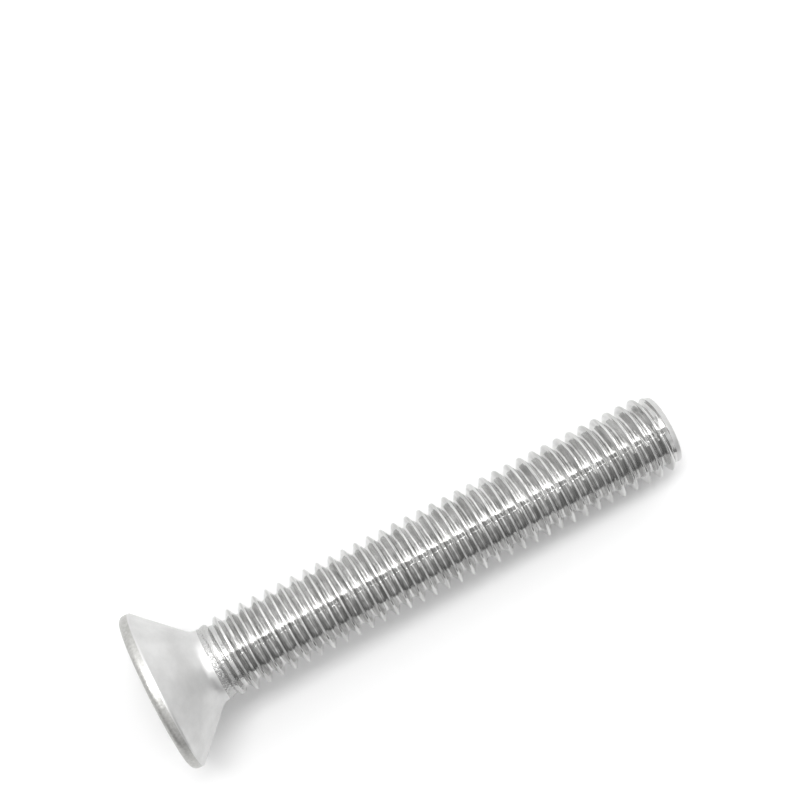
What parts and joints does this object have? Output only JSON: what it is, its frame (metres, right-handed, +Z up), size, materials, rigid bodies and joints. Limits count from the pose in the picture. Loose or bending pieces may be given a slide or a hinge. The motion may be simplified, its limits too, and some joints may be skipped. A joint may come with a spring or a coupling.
{
  "type": "countersunk socket screw",
  "caption": "Countersunk screw with a hexagon socket and a long right-hand thread up to a short neck under its cone head, lying on its side.",
  "frame": {"origin": "on the surface it lies on, under the middle of its bounding box", "axes": "+X runs level from the head towards the tip, +Z is up; the screw's own axis slopes down towards the tip by 4.3 degrees in the XZ plane, because the head is wider than the thread"},
  "size_m": [0.0404, 0.0116, 0.0117],
  "materials": {
    "stainless_steel": "bare stainless steel: bright rolled thread, satin cone, pebbled forged face"
  },
  "bodies": {
    "root": {"countersunk_screw": "stainless_steel"}
  },
  "joints": []
}
